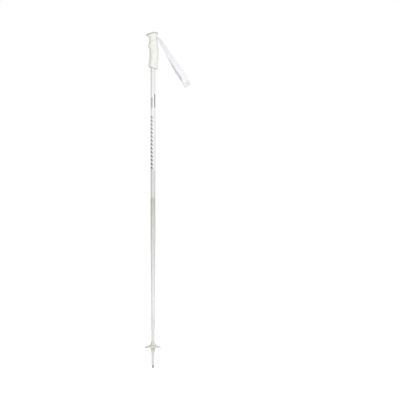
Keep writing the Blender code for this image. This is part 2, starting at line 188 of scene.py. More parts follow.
def finish_of(name, colour, rough, bumps=(), spread=0.0, **shader_values):
    """A plain finish with a slight change of colour and gloss over it, and one or more bumps.

    Each bump is (size in mm, height in mm). spread is how far the colour strays from its middle.
    """
    material = bpy.data.materials.new(name)
    material.use_nodes = True
    tree = material.node_tree
    shader = tree.nodes["Principled BSDF"]
    for key, value in shader_values.items():
        shader.inputs[key.replace("_", " ")].default_value = value
    place = node(tree, "TexCoord").outputs["Object"]
    cloud = node(tree, "TexNoise", {"Vector": place, "Scale": 1 / (CLOUD * MM), "Detail": 4.0})
    tones = [tuple(c * (1 + s) for c in linear(colour)[:3]) + (1.0,) for s in (-spread, spread)]
    mixed = node(tree, "Mix", {"Factor": cloud.outputs[0]}, data_type="RGBA")
    mixed.inputs["A"].default_value = tones[0]
    mixed.inputs["B"].default_value = tones[1]
    tree.links.new(mixed.outputs["Result"], shader.inputs["Base Color"])
    low, high = rough * (1 - GLOSS_SPREAD), rough * (1 + GLOSS_SPREAD)
    gloss = node(tree, "MapRange", {"Value": cloud.outputs[0], 3: low, 4: high})
    tree.links.new(gloss.outputs[0], shader.inputs["Roughness"])
    normal = None
    for size, height in bumps:
        grain = node(tree, "TexNoise", {"Vector": place, "Scale": 1 / (size * MM), "Detail": 3.0})
        inputs = {"Height": grain.outputs[0], "Distance": height * MM, "Strength": 1.0}
        if normal:
            inputs["Normal"] = normal
        normal = node(tree, "Bump", inputs).outputs[0]
    if normal:
        tree.links.new(normal, shader.inputs["Normal"])
    return material


# %% [markdown]
# ## The plain finishes
# The grip is moulded in two shots. The soft skin is a thermoplastic rubber with a spark-eroded
# grain, which keeps it matt and warm white. The core under it is nylon with glass fibre in it,
# flat and grey, and it ends in a collar painted a darker grey, as painted shade along the grip's
# lower rim. The nylon cap is satin. The basket is polyethylene, a little yellower, and lets some
# light into its thin disc. The tip body is polyamide from a polished mould, so it is glossier. The
# tip is sintered steel: bare grainy metal that mirrors a grey room, so it looks dark. The screw is
# zinc plated and bright, and the pin is powder coated, so that its ends are as white as the skin.

# %% Plain finishes
soft_rubber = finish_of(
    "moulded_thermoplastic_rubber", "#f3f3ee", 0.58, [(0.5, 0.05), (3.0, 0.05)], 0.015, IOR=1.5
)
cap_plastic = finish_of(
    "moulded_satin_nylon", "#cfcfca", 0.36, [(0.4, 0.02), (6.0, 0.05)], 0.012, IOR=1.53
)
tip_plastic = finish_of("moulded_white_polyamide", "#e6e6e3", 0.34, [(0.5, 0.02)], 0.012, IOR=1.53)
milky = {"Subsurface_Weight": 0.12, "Subsurface_Scale": 0.002}
basket_plastic = finish_of(
    "moulded_polyethylene", "#e0e1d8", 0.42, [(0.6, 0.03), (5.0, 0.06)], 0.02, IOR=1.51, **milky
)
core_plastic = finish_of(
    "moulded_glass_filled_nylon", "#d9d9d6", 0.5, [(0.8, 0.05)], 0.05, IOR=1.53
)
# The collar's darker grey is painted shade along the grip's lower rim.
shaded_collar_plastic = finish_of("moulded_grey_nylon_painted_shade", "#b2b2ae", 0.5, [(0.8, 0.03)], 0.02, IOR=1.53)
sintered_steel = finish_of(
    "sintered_carbide_steel", "#c2c2c4", 0.42, [(0.35, 0.05)], 0.12, Metallic=1.0
)
zinc_steel = finish_of("zinc_plated_steel", "#dcdcde", 0.3, [(0.6, 0.02)], 0.04, Metallic=1.0)
coated_steel = finish_of("powder_coated_steel", "#f0f0ec", 0.4, [(0.5, 0.02)], 0.01, IOR=1.5)
for name in ("grip_core", "shaft_top_plug"):
    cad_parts[name].data.materials.clear()
    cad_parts[name].data.materials.append(core_plastic)
print("finishes", len(bpy.data.materials))

# %% [markdown]
# ## The shaft
# A drawn aluminium tube, swaged to a long taper near the bottom, sprayed white and printed.
# It is a tube turned round its axis: a radius for each height, inside and out, and 128 places
# round it. Its map runs round the tube and up it in real millimetres, so the print can be laid
# out as on a drawing.

# %% Shaft shape
# Radius and height of the straight tube, its taper and the end inside the tip body
STRAIGHT = [(8.0, 1100.0), (8.0, 760.0), (8.0, 465.0)]
TAPER = [(7.92, 440.0), (7.55, 415.0), (5.85, 230.0), (5.5, 208.0), (5.4, 190.0), (5.1, 177.0)]
SLEEVED_END = [(4.65, 161.0), (4.4, 140.0), (4.35, 100.0)]
SHAFT_WALL = 0.9


def turned(name, line, steps=1, sides=96, loop=False, bow=None):
    """A shape turned round the pole's axis.

    Row i has radius r(i) and height z(i), and column j stands at an angle of one turn times
    j over sides, from the side that faces the front. The map is radius times angle, and height.
    bow, if given, takes radius and angle and returns how much the surface rises there.
    """
    line = smooth(line, steps) if steps > 1 else np.asarray(line, float)
    radius, height = line[:, :1], line[:, 1:2]
    angle = (np.arange(sides + 1) / sides - 0.5) * math.tau
    rise = bow(radius, angle) if bow else 0.0
    columns = [radius * np.sin(angle), -radius * np.cos(angle), height + rise + 0 * angle]
    grid = np.stack(columns, -1)
    uv = np.stack([radius * angle, height + 0 * angle], -1)
    uv = np.concatenate([uv, uv[:1]]) if loop else uv
    return surface(name, grid[:, :-1], uv, loop=loop)


outside = smooth(STRAIGHT + TAPER + SLEEVED_END, 6)
inside = outside[::-1] - (SHAFT_WALL, 0.0)
shaft = turned("lacquered_shaft", np.vstack([outside, inside]), sides=128, loop=True)

# %% [markdown]
# The lacquer is white at the top. Below the print it steps to a pale grey, then to a warm grey
# that fades back to white along the taper. The print is a plain pattern of chevrons that darken
# downwards, with a pale bar on the front and a dark thin one on the right. A clear coat lies over
# it, with the slight orange peel that a sprayed lacquer dries with.

# %% Shaft finish
clear_coat = {"Coat_Weight": 0.3, "Coat_Roughness": 0.12}
lacquer = finish_of(
    "sprayed_white_lacquer", "#f1f1f0", 0.26, [(1.4, 0.012)], 0.006, IOR=1.5, **clear_coat
)
# The ground that the print lies on: height in mm and colour, blended between the heights
GROUND_TOP = 1150.0
GROUND = [(100, "#fafaf9"), (233, "#f8f8f7"), (410, "#e6e6e4"), (581, "#cdcdc6")]
GROUND += [(582, "#e3e3e1"), (676, "#e5e5e4"), (677, "#f4f4f3"), (862, "#fdfdfc")]
# A printed block in mm: middle and half size round the tube, middle and half size up it
CHEVRON_BLOCK = (-6.2, 5.4, 768.0, 94.0)
FRONT_BAR = (-4.0, 3.2, 907.5, 17.5)
RIGHT_BAR = (7.4, 2.4, 914.0, 23.0)
CHEVRON_SPACING, CHEVRON_SHARE = 13.4, 0.52
LOW_INK, HIGH_INK = "#6f6f6f", "#b4b4b4"


def calc(tree, operation, *values):
    """One step of arithmetic on a pattern."""
    return node(tree, "Math", dict(enumerate(values)), operation=operation).outputs[0]


def print_on(material):
    """Lays the print over the base colour.

    A block is where round-the-tube and up-the-tube both lie near its middle. A chevron is where
    (height + distance from the block's middle line) / spacing has a fraction below its share.
    """
    tree = material.node_tree
    shader = tree.nodes["Principled BSDF"]
    base = shader.inputs["Base Color"].links[0].from_socket
    parts = node(tree, "SeparateXYZ", {0: node(tree, "UVMap").outputs[0]})
    across, up = parts.outputs[0], parts.outputs[1]

    def block(middle_across, half_across, middle_up, half_up):
        """One inside a block of the print, and nought outside it."""
        in_width = calc(tree, "COMPARE", across, middle_across * MM, half_across * MM)
        in_height = calc(tree, "COMPARE", up, middle_up * MM, half_up * MM)
        return calc(tree, "MULTIPLY", in_width, in_height)

    def paint(under, mask, colour):
        """The colour where the mask is one, and what lies under it elsewhere."""
        mixed = node(tree, "Mix", {"Factor": mask, "A": under}, data_type="RGBA")
        if isinstance(colour, bpy.types.NodeSocket):
            tree.links.new(colour, mixed.inputs["B"])
        else:
            mixed.inputs["B"].default_value = linear(colour)
        return mixed.outputs["Result"]

    ground = node(tree, "ValToRGB", {"Fac": calc(tree, "DIVIDE", up, GROUND_TOP * MM)})
    stops = ground.color_ramp.elements
    for k, (height, colour) in enumerate(GROUND):
        stop = stops[k] if k < 2 else stops.new(height / GROUND_TOP)
        stop.position = height / GROUND_TOP
        stop.color = linear(colour)
    tinted = node(tree, "Mix", {"Factor": 1.0, "A": base, "B": ground.outputs[0]}, data_type="RGBA")
    tinted.blend_type = "MULTIPLY"
    colour = tinted.outputs["Result"]

    middle_line, _, middle, half = CHEVRON_BLOCK
    low, high = (middle - half) * MM, (middle + half) * MM
    fade = node(tree, "MapRange", {"Value": up, 1: low, 2: high, 3: 0.0, 4: 1.0})
    ink = node(tree, "Mix", {"Factor": fade.outputs[0]}, data_type="RGBA")
    ink.inputs["A"].default_value = linear(LOW_INK)
    ink.inputs["B"].default_value = linear(HIGH_INK)
    side = calc(tree, "ABSOLUTE", calc(tree, "SUBTRACT", across, middle_line * MM))
    phase = calc(tree, "DIVIDE", calc(tree, "ADD", up, side), CHEVRON_SPACING * MM)
    stripe = calc(tree, "LESS_THAN", calc(tree, "FRACT", phase), CHEVRON_SHARE)
    chevrons = calc(tree, "MULTIPLY", stripe, block(*CHEVRON_BLOCK))
    colour = paint(colour, chevrons, ink.outputs["Result"])
    colour = paint(colour, block(*FRONT_BAR), "#c6c6c6")
    colour = paint(colour, block(*RIGHT_BAR), "#747474")
    tree.links.new(colour, shader.inputs["Base Color"])


print_on(lacquer)
finished(shaft, "pole", "painted_aluminium", lacquer, "shaft_tube")

# %% [markdown]
# ## The grip's skin
# The grip is a stack of rounded sections. Each is a superellipse, a shape between an ellipse and
# a rectangle, on a surface that slopes and arches as the rims do. A short table gives each
# section, and the rows between are smoothed. The finger side has a bump for the first finger and
# shallow ridges below it. The skin is a closed wall, so it is one loop up the outside and down
# the inside. The hard core ends below it in a thin grey collar, a ring of the same sections,
# painted a darker grey than the core as painted shade along the grip's lower rim.

# %% Grip sections
# front z, front x, back z, back x, half width, squareness, how far the front narrows, arch
GRIP_SECTIONS = [
    (1030.0, -14.6, 1020.8, 15.8, 14.3, 2.3, 0.00, 0.0),
    (1035.5, -15.2, 1029.0, 16.2, 14.5, 2.3, 0.00, 0.0),
    (1046.0, -14.0, 1043.0, 16.5, 14.2, 2.3, 0.00, 0.0),
    (1057.0, -12.6, 1056.0, 18.0, 13.9, 2.3, 0.00, 0.0),
    (1069.0, -11.5, 1069.0, 19.0, 13.8, 2.3, 0.00, 0.0),
    (1081.0, -12.1, 1081.0, 18.9, 14.0, 2.3, 0.00, 0.0),
    (1091.0, -13.2, 1091.0, 18.4, 14.3, 2.3, 0.00, 0.0),
    (1098.0, -14.3, 1098.5, 17.7, 14.6, 2.3, 0.00, 0.0),
    (1104.0, -16.8, 1105.0, 16.8, 14.9, 2.35, 0.00, 0.0),
    (1110.0, -14.0, 1111.0, 15.8, 15.1, 2.4, 0.00, 0.0),
    (1117.0, -12.4, 1117.0, 15.1, 15.3, 2.5, 0.00, 0.0),
    (1123.0, -12.1, 1123.0, 14.8, 15.5, 2.6, 0.00, 0.0),
    (1128.0, -13.3, 1129.0, 14.8, 15.8, 2.65, 0.05, 0.0),
    (1132.0, -16.6, 1134.5, 15.0, 16.3, 2.65, 0.20, 1.0),
    (1136.0, -20.9, 1139.5, 15.8, 16.8, 2.65, 0.42, 3.0),
    (1138.9, -23.0, 1144.6, 16.7, 17.2, 2.65, 0.55, 4.2),
]
GRIP_COLUMNS = 128
SKIN_WALL = 2.0
ARCH_POWER, ARCH_SCALE = 1.6, 5.4  # the arch stands nearer the back, about as high as its number


def grip_rows(sections, inset=0.0, share=1.0, lift=0.0, crown=0.0):
    """Points of the grip for rows of sections.

    Round a section, x and y go as the signed power 2 / squareness of the angle's cosine and
    sine. Then z runs from the front height to the back height, plus the arch. inset pulls the
    surface in, share shrinks it to its middle, lift raises it, and crown domes it.
    """
    front_z, front_x, back_z, back_x, half, square, narrowing, arch = sections.T[:, :, None]
    angle = math.tau * np.arange(GRIP_COLUMNS)[None, :] / GRIP_COLUMNS
    power = lambda wave: np.sign(wave) * np.abs(wave) ** (2 / square)
    u, v = power(np.cos(angle)), power(np.sin(angle))
    x = (front_x + back_x) / 2 + ((back_x - front_x) / 2 - inset) * share * u
    nose = 1 - narrowing * np.maximum(0, -u) ** 2
    y = (half * nose - inset) * share * v
    along = np.clip((x - front_x) / (back_x - front_x), 0, 1)
    z = front_z + (back_z - front_z) * along
    z = z + arch * ARCH_SCALE * along**ARCH_POWER * (1 - along)
    return np.stack([x, y, z + lift + crown * (1 - (y / half) ** 2)], -1)


GROOVE_DEPTH, GROOVE_SPACING = 0.45, 5.5
GROOVE_LOW, GROOVE_HIGH, GROOVE_FADE = 1042, 1097, 5


def grip_relief(points):
    """How far the skin is pulled in, from its place in millimetres.

    Ridges across the finger side: a cosine of height fades in from the sides to the front.
    """
    x, _, z = np.moveaxis(points, -1, 0)
    front = np.clip((-x - 2.0) / 7.0, 0, 1)
    span = np.clip((z - GROOVE_LOW) / GROOVE_FADE, 0, 1)
    span = span * np.clip((GROOVE_HIGH - z) / GROOVE_FADE, 0, 1)
    wave = 0.5 + 0.5 * np.cos(math.tau * z / GROOVE_SPACING)
    return GROOVE_DEPTH * wave**2 * front**2 * (3 - 2 * front) * span


COLLAR = 1.7  # mm from the core's end up to the skin
SKIRT_ROWS = 6  # rows at the top that the cap's skirt covers instead
FIRST_ROW = 7  # the first row above the rounded lower edge
LAST_ROWS = 3  # rows that the upper edge stands in for
INNER_STEP = 7  # the hidden inside needs only every seventh row
# Inset and height of the rows that round the lower edge, and inset and drop for the upper one
LOWER_EDGE = [(1.1, 0.0), (0.45, 0.1), (0.12, 0.42), (0.0, 1.0)]
UPPER_EDGE = [(0.0, 0.5), (0.15, 0.12), (0.5, 0.0)]
sections = smooth(GRIP_SECTIONS, 14)
body = sections[:-SKIRT_ROWS]
outer = grip_rows(body, grip_relief(grip_rows(body)))[FIRST_ROW:-LAST_ROWS]
bottom = [grip_rows(sections[:1], i, lift=COLLAR + z) for i, z in LOWER_EDGE]
top = [grip_rows(body[-1:], i, lift=-z) for i, z in UPPER_EDGE]
inner = [grip_rows(body[: FIRST_ROW - 1 : -INNER_STEP], SKIN_WALL)]
inner.append(grip_rows(sections[:1], SKIN_WALL, lift=COLLAR))
grip = surface("grip_skin", np.vstack([*bottom, outer, *top, *inner]), loop=True, sharp_deg=50)
print("grip rows", len(bottom) + len(outer) + len(top))


# %% [markdown]
# The strap leaves through a slanted mouth at the back, and the cross pin's ends show in two small
# holes. Both are taken out of the skin with a Boolean of a simple solid, because a hole with a
# crisp edge is just what that tool leaves.


# %% Openings in the skin
def cut(piece, tool):
    """Takes the tool's shape out of the piece for good, and removes the tool."""
    hollow = piece.modifiers.new("cut", "BOOLEAN")
    hollow.operation = "DIFFERENCE"
    hollow.solver = "EXACT"
    hollow.object = tool
    graph = bpy.context.evaluated_depsgraph_get()
    mesh = bpy.data.meshes.new_from_object(piece.evaluated_get(graph))
    piece.modifiers.clear()
    piece.data = mesh
    bpy.data.objects.remove(tool)
    mesh.shade_smooth()
    mesh.set_sharp_from_angle(angle=math.radians(40))


def across_block(name, outline, half):
    """A straight block across the pole, from its outline in x and z and its half width in y."""
    x, z = np.array(outline).T
    side = np.array([-half, half])[:, None]
    return surface(name, np.stack([x + 0 * side, side + 0 * x, z + 0 * side], -1))


def cross_rod(name, line, x, z, sides=40):
    """A round rod across the pole: rows of (radius, y), turned round the line through x and z."""
    line = np.asarray(line, float)
    angle = math.tau * np.arange(sides) / sides
    radius, y = line[:, :1], line[:, 1:]
    ring_x, ring_z = x + radius * np.cos(angle), z + radius * np.sin(angle)
    return surface(name, np.stack([ring_x, y + 0 * angle, ring_z], -1))


MOUTH_HALF = 11.65
MOUTH = [(6.5, 1125.6), (22.0, 1130.2), (22.0, 1134.2), (14.2, 1133.1), (6.5, 1131.4)]
PIN_X, PIN_Z = 2.0, 1119.5
PIN_HOLE = [(1.8, -30), (1.8, 30)]
cut(grip, across_block("mouth_tool", MOUTH, MOUTH_HALF))
cut(grip, cross_rod("pin_hole_tool", PIN_HOLE, PIN_X, PIN_Z))
finished(grip, "pole", "soft_skin", soft_rubber, "grip_shell")

# %% [markdown]
# The collar is rows of the grip's lowest section, pulled in by an inset and raised a little, in a
# loop. The pin is turned round its own axis. Its ends swell to fill the holes in the skin.

# %% Collar and pin
COLLAR_ROWS = [(2.2, 0.1), (0.9, 0.1), (0.5, 0.25), (0.35, 0.6), (0.35, 1.6), (2.2, 1.6)]
collar_grid = np.vstack([grip_rows(sections[:1], i, lift=z) for i, z in COLLAR_ROWS])
collar = surface("grip_collar", collar_grid, loop=True)
# The collar's darker grey is painted shade along the grip's lower rim.
finished(collar, "pole", "inner_plastic", shaded_collar_plastic)
PIN_END = [(1.2, -15.1), (1.6, -14.8), (1.72, -14.4), (1.72, -12.6), (1.5, -12.5)]
pin_line = PIN_END + [(radius, -y) for radius, y in reversed(PIN_END)]
pin = cross_rod("cross_pin", pin_line, PIN_X, PIN_Z)
finished(pin, "pole", "steel", coated_steel, "strap_pin")

# %% [markdown]
# ## The cap
# A hard dome closes the head and runs out to a spur over the fingers. Its rows are the grip's
# last section, shrunk by a share: from nearly nothing out to the rim underneath, and back in over
# the top. A skirt at the rim has the heights of the skin's last row, so the cap comes down to
# meet the skin. A window lets the strap's wedge through, and a screw sits in a round seat.

# %% Cap
CAP_GAP = 0.3
HEIGHT_COLUMNS = [0, 2, 7]  # front z, back z and arch in a section
# Share and height of the skirt's rows, and share, height and crown of the upper rim's
SKIRT = [(0.9, 0.0), (0.97, 0.0), (0.99, 0.12), (0.998, 0.4)]
RIM = [(1.0, 0.85, 0.0), (1.0, 1.2, 0.0), (0.995, 1.6, 0.05), (0.985, 1.95, 0.1)]
RIM += [(0.968, 2.2, 0.2), (0.945, 2.36, 0.28), (0.91, 2.44, 0.34)]
DOME = [(share, 2.46, 0.4) for share in np.linspace(0.86, 0.06, 16)]
head = sections[-1:]
skirt = head.copy()
skirt[:, HEIGHT_COLUMNS] = body[-1, HEIGHT_COLUMNS]
under = [grip_rows(head, 0.0, s, CAP_GAP) for s in np.linspace(0.06, 0.88, 12)]
under += [grip_rows(skirt, 0.0, s, CAP_GAP + z) for s, z in SKIRT]
over = [grip_rows(head, 0.0, s, CAP_GAP + z, crown) for s, z, crown in RIM + DOME]
cap = surface("head_cap_dome", np.vstack(under + over), sharp_deg=60)


def rounded_rectangle(length, half, corner, count):
    """x and y round a rectangle's middle: each quarter turn of a corner's circle is followed by
    a straight side."""
    angle = np.linspace(0, math.tau, count, endpoint=False) + math.pi / count
    x = np.sign(np.cos(angle)) * (length / 2 - corner) + corner * np.cos(angle)
    y = np.sign(np.sin(angle)) * (half - corner) + corner * np.sin(angle)
    return np.stack([x, y], -1)


def at_height(ring, middle_x, height):
    """A level ring, moved to its place."""
    return np.stack([middle_x + ring[:, 0], ring[:, 1], height + 0 * ring[:, 0]], -1)


WINDOW_X = 0.2
window = rounded_rectangle(length=9.2, half=6.1, corner=1.4, count=40)
cut(cap, surface("window_tool", np.stack([at_height(window, WINDOW_X, z) for z in (1135, 1160)])))
SCREW_X, SCREW_HEAD = 10.3, 1147.9


def screw_line(name, line, sides=48):
    """A shape turned round the screw's own axis, from rows of (radius, z)."""
    line = np.asarray(line, float)
    angle = math.tau * np.arange(sides) / sides
    x = SCREW_X + line[:, :1] * np.cos(angle)
    return surface(name, np.stack([x, line[:, :1] * np.sin(angle), line[:, 1:] + 0 * angle], -1))


cut(cap, screw_line("seat_tool", [(3.5, 1147.4), (3.5, 1160)]))
cut(cap, screw_line("hole_tool", [(1.9, 1140), (1.9, 1148)]))
finished(cap, "pole", "hard_plastic", cap_plastic, "head_cap")

# %% [markdown]
# The screw has a low round head with a cross for the driver. The cross is pressed in: the top is
# a dome whose height drops wherever the point lies within half a blade's width of either arm.

# %% Screw
RECESS_DEPTH, ARM_LENGTH, ARM_HALF_WIDTH = 0.8, 1.75, 0.42


def recess_arm(along, across):
    """One inside an arm of the cross, and falling to nothing at its sides and end."""
    in_width = np.clip((ARM_HALF_WIDTH - np.abs(across)) / 0.15, 0, 1)
    return in_width * np.clip((ARM_LENGTH - np.abs(along)) / 0.3, 0, 1)


def screw_head_drop(x, y):
    """Depth of the cross recess at places measured from the screw's axis, in millimetres."""
    return RECESS_DEPTH * np.maximum(recess_arm(x, y), recess_arm(y, x))


SCREW_SIDES = 96
shank = [(1.6, 1135.2), (1.6, 1146.9), (1.6, SCREW_HEAD)]
shank += [(3.0, SCREW_HEAD), (3.05, SCREW_HEAD + 0.15)]
dome_radius = np.linspace(3.0, 0.05, 34)
dome = np.stack([dome_radius, SCREW_HEAD + 0.25 + 1.2 * np.sqrt(1 - (dome_radius / 3.3) ** 2)], -1)
line = np.vstack([shank, dome])
turn = math.tau * np.arange(SCREW_SIDES) / SCREW_SIDES
off_x, off_y = line[:, :1] * np.cos(turn), line[:, :1] * np.sin(turn)
drop = screw_head_drop(off_x, off_y) * (np.arange(len(line)) >= len(shank))[:, None]
grid = np.stack([SCREW_X + off_x, off_y, line[:, 1:] - drop], -1)
screw = surface("cap_screw_head", grid, sharp_deg=30)
finished(screw, "pole", "steel", zinc_steel, "cap_screw")

# %% [markdown]
# ## The wedge
# The strap's free end is held by a wedge that drops behind it. Its button fills the cap's window
# and has three low ridges for a thumb. It is one lofted column: a long section for the wedge,
# drawn in to the button's, with its last rows rounded over.

# %% Wedge
WEDGE_ROWS = [
    # x low, x high, z, half width, corner
    (-5.3, 1.3, 1130.6, 11.2, 0.6),
    (-5.3, 1.6, 1131.4, 11.25, 0.8),
    (-5.3, 4.6, 1139.4, 11.25, 0.8),
    (-5.2, 4.7, 1140.3, 11.0, 0.8),
    (-3.8, 4.2, 1140.4, 5.5, 1.2),
    (-3.8, 4.2, 1146.0, 5.5, 1.2),
]
body_rows = np.asarray(WEDGE_ROWS, float)
# The button's top: shares of its section, and how high each stands over the slope
TOP_SHARES = np.concatenate([[1.0, 0.995, 0.98, 0.95, 0.91], np.linspace(0.84, 0.04, 22)])
TOP_HEIGHTS = np.array([0.0, 0.25, 0.42, 0.52, 0.58] + [0.6] * 22)
BUTTON_TOP, BUTTON_SLOPE = 1148.6, 0.08
RIDGE_HEIGHT, RIDGE_SPACING, RIDGES_HALF = 0.3, 2.4, 3.0
SIDE_POINTS = 17


def wedge_section(row, share):
    """A rounded rectangle of one wedge row, shrunk to its middle by share. Its straight sides
    have points too, because the ridges need them."""
    low, high, height, half, corner = row
    corners = rounded_rectangle(high - low, half, corner, 48).reshape(4, -1, 2)
    t = (np.arange(1, SIDE_POINTS + 1) / (SIDE_POINTS + 1))[None, :, None]
    sides = corners[:, -1:] * (1 - t) + np.roll(corners, -1, 0)[:, :1] * t
    ring = np.concatenate([corners, sides], 1).reshape(-1, 2) * share
    return at_height(ring, (low + high) / 2, height)


column = [wedge_section(row, 1.0) for row in body_rows]
button = np.stack([wedge_section(body_rows[-1], share) for share in TOP_SHARES])
button_x = button[..., 0]
slope = BUTTON_TOP + BUTTON_SLOPE * button_x
wave = np.clip(np.cos(math.tau * button_x / RIDGE_SPACING), 0, 1)
ridge = RIDGE_HEIGHT * wave * (np.abs(button_x) < RIDGES_HALF)
inside_rim = np.clip((0.86 - TOP_SHARES) / 0.1, 0, 1)
button[..., 2] = slope + TOP_HEIGHTS[:, None] + ridge * inside_rim[:, None]
wedge = surface("wedge_button", np.concatenate([np.stack(column), button]), sharp_deg=40)
finished(wedge, "wedge", "hard_plastic", cap_plastic, "strap_wedge")

# %% [markdown]
# ## The strap
# One length of webbing starts behind the wedge, leaves by the mouth, runs down to the loop's far
# end, turns round there and comes back up to the pin. The two layers lie level at the grip and
# twist on the way until they stand on edge. Between the two ends they bow apart, as a hand has
# left them. A table gives the twist, half the distance between the layers, and how far both bow
# off the curve. The strap is modelled directly, because it is flat webbing with an exact length,
# and its weave is too fine for a simulation to keep.

# %% Strap line
HINGE = np.array((16.6, 0.0, 1130.8))
STRAP_BEND = np.array((57.0, 0.0, 1070.4))
STRAP_TIP = np.array((118.3, 0.0, 966.4))
# share of the length, twist in degrees, half the distance between the layers, bow
STRAP_SHAPE = [
    (0.00, 0.0, 0.98, 0.0),
    (0.04, 16.0, 0.86, 0.0),
    (0.12, 27.0, 0.82, 0.2),
    (0.26, 36.0, 0.80, 0.3),
    (0.40, 44.0, 0.90, -0.2),
    (0.52, 53.0, 2.40, -0.4),
    (0.62, 61.0, 5.20, 0.0),
    (0.70, 66.0, 7.20, 0.2),
    (0.78, 68.0, 8.60, 0.9),
    (0.86, 68.0, 8.80, 1.9),
    (0.90, 72.0, 6.60, 1.7),
    (0.943, 84.0, 1.60, 0.6),
    (0.97, 87.0, 0.90, 0.1),
    (1.00, 88.0, 0.86, 0.0),
]
STRAP_WIDTH, STRAP_THICK = 22.5, 1.5
TURN_STEPS = 16


def unit(vectors):
    """Vectors of length one."""
    return vectors / np.linalg.norm(vectors, axis=-1, keepdims=True)


def strap_frame(share):
    """Place, direction, width direction and stacking direction of the strap, and its half spread.

    The middle line is a quadratic curve: (1-s)^2 times the hinge, 2s(1-s) times the bend and
    s^2 times the tip. Across it, the width turns from level towards the line's own upper side
    by the twist, and the layers are stacked at right angles to the width.
    """
    s = np.asarray(share, float)[:, None]
    table = smooth(STRAP_SHAPE, 4)
    twist, spread, bow = (np.interp(s[:, 0], table[:, 0], table[:, k])[:, None] for k in (1, 2, 3))
    along = unit((STRAP_BEND - HINGE) * (1 - s) + (STRAP_TIP - STRAP_BEND) * s)
    upper = np.stack([-along[:, 2], 0 * along[:, 0], along[:, 0]], -1)
    level = np.array((0.0, 1.0, 0.0))
    twist = np.radians(twist)
    width = np.cos(twist) * level + np.sin(twist) * upper
    stack = np.sin(twist) * level - np.cos(twist) * upper
    place = HINGE * (1 - s) ** 2 + STRAP_BEND * 2 * s * (1 - s) + STRAP_TIP * s**2 + upper * bow
    return place, along, width, stack, spread


def loop_line(start_share, extra, steps):
    """Middle line, width and outward directions down the near layer, round the end and back up.
    extra is how far the line lies outside the webbing's own two layers."""
    place, along, width, stack, spread = strap_frame(np.linspace(start_share, 1, steps))
    angle = (math.pi * (np.arange(1, TURN_STEPS) / TURN_STEPS - 0.5))[:, None]
    round_end = stack[-1] * np.sin(angle) + along[-1] * np.cos(angle)
    outward = np.vstack([-stack, round_end, stack[::-1]])
    reach = np.vstack([spread, 0 * angle + spread[-1], spread[::-1]]) + extra
    places = np.vstack([place, place[-1] + 0 * round_end, place[::-1]])
    widths = np.vstack([width, width[-1] + 0 * round_end, width[::-1]])
    return places + outward * reach, widths, outward


def level_line(points, steps):
    """The same for a part of the webbing that runs level inside the grip, from its x and z."""
    path = smooth(points, steps)
    ahead = unit(np.gradient(path, axis=0))
    zero = 0 * path[:, 0]
    places = np.stack([path[:, 0], zero, path[:, 1]], -1)
    widths = np.stack([zero, zero + 1, zero], -1)
    return places, widths, np.stack([-ahead[:, 1], zero, ahead[:, 0]], -1)


middle_line = strap_frame(np.linspace(0, 1, 200))[0]
hang = np.linalg.norm(np.diff(middle_line, axis=0), axis=1).sum()
print("from the mouth to the loop's far end", round(hang), "mm")

# %% [markdown]
# The webbing's section is a flat strip with rounded edges, a little thicker at its two woven
# edges. It is carried along the line, and its map runs along the webbing and across it. The inner
# face lies further off on the map, so that the finish can tell the faces apart and paint the inner
# one darker, as painted shade where one layer of the loop shades the other.

# %% Strap webbing
INNER_MAP = 200.0  # mm, how far off the inner face lies on the map
EASING_ROUNDS = 14
SELVAGE, SELVAGE_WIDTH = 1.12, 2.6  # how much thicker the woven edges are, and how wide


def eased(rows, near):
    """Rows drawn towards the mean of their neighbours, again and again, where near is one."""
    for _ in range(EASING_ROUNDS):
        mean = (rows[:-2] + 2 * rows[1:-1] + rows[2:]) / 4
        rows = np.vstack([rows[:1], rows[1:-1] + (mean - rows[1:-1]) * near[1:-1], rows[-1:]])
    return rows


def webbing(name, lines, half_width, thick):
    """A closed strip: the section's points are width direction times w plus outward times n.
    Its bends are eased where it leaves the mouth."""
    places, widths, outward = (np.vstack(part) for part in zip(*lines))
    x = places[:, :1]
    near = np.clip((x - 9) / 3, 0, 1) * np.clip((27 - x) / 6, 0, 1)
    places = eased(places, near)
    widths, outward = unit(eased(widths, near)), unit(eased(outward, near))
    flat_w = np.linspace(-1, 1, 31) * (half_width - thick / 2)
    into_selvage = np.clip((np.abs(flat_w) - half_width + SELVAGE_WIDTH) / 0.6, 0, 1)
    selvage = 1 + (SELVAGE - 1) * into_selvage
    edge_angle = np.linspace(-math.pi / 2, math.pi / 2, 9)[1:-1]
    edge_w = np.cos(edge_angle) * thick / 2
    edge_n = np.sin(edge_angle) * thick / 2 * SELVAGE
    w = np.concatenate([flat_w, flat_w[-1] + edge_w[::-1], flat_w[::-1], -flat_w[-1] - edge_w])
    n = np.concatenate([selvage * thick / 2, edge_n[::-1], -selvage * thick / 2, edge_n])
    grid = places[:, None] + widths[:, None] * w[:, None] + outward[:, None] * n[:, None]
    run = np.concatenate([[0], np.cumsum(np.linalg.norm(np.diff(places, axis=0), axis=1))])
    around = np.concatenate([w + INNER_MAP * (n < 0), w[:1]])
    uv = np.stack([run[:, None] + 0 * around, around + 0 * run[:, None]], -1)
    return surface(name, grid, uv, sharp_deg=60), run[-1]


# x and z of the free end, from behind the wedge to the mouth
FREE_END = [(-6.4, 1139.8), (-6.4, 1132.0), (-5.3, 1128.7), (-2.0, 1127.6)]
FREE_END += [(3.0, 1128.7), (8.5, 1130.3), (14.2, 1131.8)]
WRAP_RADIUS = 2.55
LOOP_START = 0.004  # share of the length where the loop's own rows start
wrap_angle = np.radians(np.arange(20, -241, -26))
wrap_x = PIN_X + WRAP_RADIUS * np.sin(wrap_angle)
wrap_z = PIN_Z + WRAP_RADIUS * np.cos(wrap_angle)
# x and z of the fixed end, from the mouth to the pin and round it
FIXED_END = [(14.2, 1129.85), (9.0, 1128.0), (5.6, 1125.6), *zip(wrap_x, wrap_z)]
loop_rows = loop_line(LOOP_START, 0.0, 260)
strap_lines = [level_line(FREE_END, 8), loop_rows, level_line(FIXED_END, 5)]
strap, strap_run = webbing("strap_webbing", strap_lines, STRAP_WIDTH / 2, STRAP_THICK)
print("webbing", round(strap_run), "mm long")
